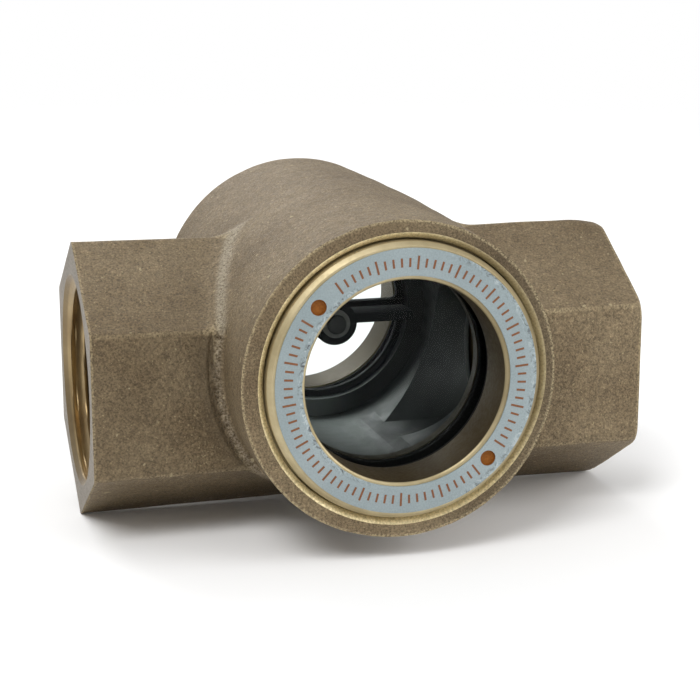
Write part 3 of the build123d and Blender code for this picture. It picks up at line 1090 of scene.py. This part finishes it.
def build_marks(side, way):
    """Generic tick marks around the label, in two runs between the holes."""
    face = -label_low[1] * way
    points, faces = [], []
    sides = ((0, 1, 2, 3), (7, 6, 5, 4), (0, 4, 5, 1), (1, 5, 6, 2), (2, 6, 7, 3), (3, 7, 4, 0))
    for start in SPANNER_ANGLES:
        for tick in range(MARK_COUNT):
            angle = start + radians(MARK_START + MARK_SPREAD * tick / (MARK_COUNT - 1))
            tall = LONG_MARK if tick % 5 == 0 else SHORT_MARK
            wide = MARK_HALF_WIDTH
            base = len(points)
            for depth in MARK_DEPTHS:
                for across, out in ((-wide, -tall), (wide, -tall), (wide, tall), (-wide, tall)):
                    radius = SPANNER_PITCH_RADIUS + out
                    x = radius * cos(angle) - across * sin(angle)
                    z = radius * sin(angle) + across * cos(angle)
                    points.append((x, face - way * depth, sight_z - way * z))
            faces += [tuple(base + k for k in quad) for quad in sides]
    marks = new_object(f"{side}_label_marks", points, faces, label_mark)
    stand_for(marks, "label")


def build_glass(side, way):
    """A flat glass disc with ground edges."""
    inner, outer = -glass_high[1] * way, -glass_low[1] * way
    radius = glass_high[0]
    corners = [
        (0, inner),
        (radius - GLASS_CHAMFER, inner),
        (radius, inner + way * GLASS_CHAMFER),
        (radius, outer - way * GLASS_CHAMFER),
        (radius - GLASS_CHAMFER, outer),
        (0, outer),
    ]
    disc = turned(f"{side}_glass_disc", corners, window_glass, closed=False)
    stand_for(disc, "glass", f"{side}_glass")


def build_gasket(node, bulge):
    """A gasket squeezed a little past its neighbours' edge."""
    low, high = box_mm(node)
    inner = GASKET_INNER_RADIUS - bulge
    corners = [(inner, low[1]), (high[0], low[1]), (high[0], high[1]), (inner, high[1])]
    ring = turned(f"{node}_ring", rounded_outline(corners, 0.3, 3), rubber)
    slot = "rubber_gasket" if "seat" in node else "fibre_gasket"
    stand_for(ring, slot, node)


def finished_copy(node, material, slot, body, rounding):
    """A copy of a CAD node with welded facets and rounded edges."""
    copy = frame["nodes"][node].copy()
    copy.data = copy.data.copy()
    copy.parent = None
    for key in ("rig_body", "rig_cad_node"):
        del copy[key]
    copy.name = f"{node}_finished"
    bpy.context.scene.collection.objects.link(copy)
    work = bmesh.new()
    work.from_mesh(copy.data)
    bmesh.ops.remove_doubles(work, verts=work.verts, dist=1e-6)
    bmesh.ops.dissolve_limit(work, angle_limit=radians(0.5), verts=work.verts, edges=work.edges)
    work.to_mesh(copy.data)
    work.free()
    bevel = copy.modifiers.new("rounding", "BEVEL")
    bevel.width = rounding * MM
    bevel.segments = 2
    bevel.limit_method = "ANGLE"
    bevel.angle_limit = radians(40)
    apply_modifiers(copy)
    copy.data.materials.clear()
    copy.data.materials.append(material)
    copy.data.shade_smooth()
    copy.data.set_sharp_from_angle(angle=radians(SMOOTH_ANGLE))
    stand_for(copy, slot, node, body=body)


def dress(node, material):
    """Give a carried-over CAD node its material."""
    materials = frame["nodes"][node].data.materials
    materials.clear()
    materials.append(material)


build_body()
for side, way in (("front", -1), ("back", 1)):
    build_retainer(side, way)
    build_label(side, way)
    build_marks(side, way)
    build_glass(side, way)
    build_gasket(f"{side}_cushion_gasket", 0.25)
    build_gasket(f"{side}_seat_gasket", 0.1)
    dress(f"{side}_slip_ring", dull_shaded_brass)
    dress(f"{side}_thrust_washer", pale_plastic)
finished_copy("rotor", black_plastic, "black_plastic", "rotor", 0.25)
finished_copy("axle_bridge", black_plastic, "black_plastic", "casing", 0.15)
finished_copy("axle_pin", dark_steel, "pin", "casing", 0.08)


# ---------------------------------------------------------------- studio


def make_floor():
    """A plain pale floor under the lowest edge of the part, fading out far from it."""
    mesh = bpy.data.meshes.new("studio_floor")
    size = 1.0
    height = cad_box[0].z
    corners = [(x * size, y * size, height) for x, y in ((-1, -1), (1, -1), (1, 1), (-1, 1))]
    mesh.from_pydata(corners, [], [(0, 1, 2, 3)])
    floor = bpy.data.objects.new("studio_floor", mesh)
    bpy.context.scene.collection.objects.link(floor)
    shader = Shader("pale_floor", color=(0.93, 0.93, 0.93), roughness=0.9)
    cloud = shader.noise(2, 2, 0.5)
    shader.color(shader.ramp(cloud, [(0.3, 0.92), (0.7, 0.94)]))
    away = shader.reach(shader.x, shader.y, 0.0)
    shader.feed(shader.surface.inputs["Alpha"], shader.step(away, 700.0, 250.0))
    mesh.materials.append(shader.material)


def add_light(name, place, power, size):
    """A soft square light that faces the object."""
    light = bpy.data.lights.new(name, "AREA")
    light.energy = power
    light.size = size
    obj = bpy.data.objects.new(name, light)
    bpy.context.scene.collection.objects.link(obj)
    obj.location = place
    obj.rotation_euler = (-Vector(place)).to_track_quat("-Z", "Y").to_euler()


def make_world(strength):
    """Even pale light from all around, with a white backdrop."""
    world = bpy.data.worlds.new("studio")
    world.use_nodes = True
    nodes, links = world.node_tree.nodes, world.node_tree.links
    background = nodes["Background"]
    background.inputs["Color"].default_value = (1, 1, 1, 1)
    level = nodes.new("ShaderNodeMapRange")
    level.inputs["To Min"].default_value = strength
    links.new(nodes.new("ShaderNodeLightPath").outputs["Is Camera Ray"], level.inputs["Value"])
    links.new(level.outputs["Result"], background.inputs["Strength"])
    bpy.context.scene.world = world


def make_camera():
    """The view from the front left and a little above, as a long lens sees it."""
    azimuth, elevation = radians(-15.289), radians(13.51)
    distance, drift_right, drift_up = 330.139, -1.053, -2.187
    back = Vector((sin(azimuth) * cos(elevation), -cos(azimuth) * cos(elevation), sin(elevation)))
    right = Vector((cos(azimuth), sin(azimuth), 0))
    up = back.cross(right)
    camera = bpy.data.cameras.new("photo_view")
    camera.sensor_width = 36
    camera.lens = 95.07
    camera.clip_start = 0.01
    obj = bpy.data.objects.new("photo_view", camera)
    bpy.context.scene.collection.objects.link(obj)
    place = Vector((0, 0, pipe_z)) + back * distance - right * drift_right - up * drift_up
    turn = Matrix((right, up, back)).transposed().to_4x4()
    obj.matrix_world = Matrix.Translation(place * MM) @ turn
    bpy.context.scene.camera = obj


make_floor()
make_world(0.55)
add_light("key", (-0.5, -0.55, 0.9), 7.6, 0.5)
add_light("fill", (0.9, -0.5, 0.4), 6.5, 0.6)
add_light("back", (-0.2, 0.9, 0.7), 6, 0.7)
make_camera()
bpy.context.scene.view_settings.view_transform = "Standard"
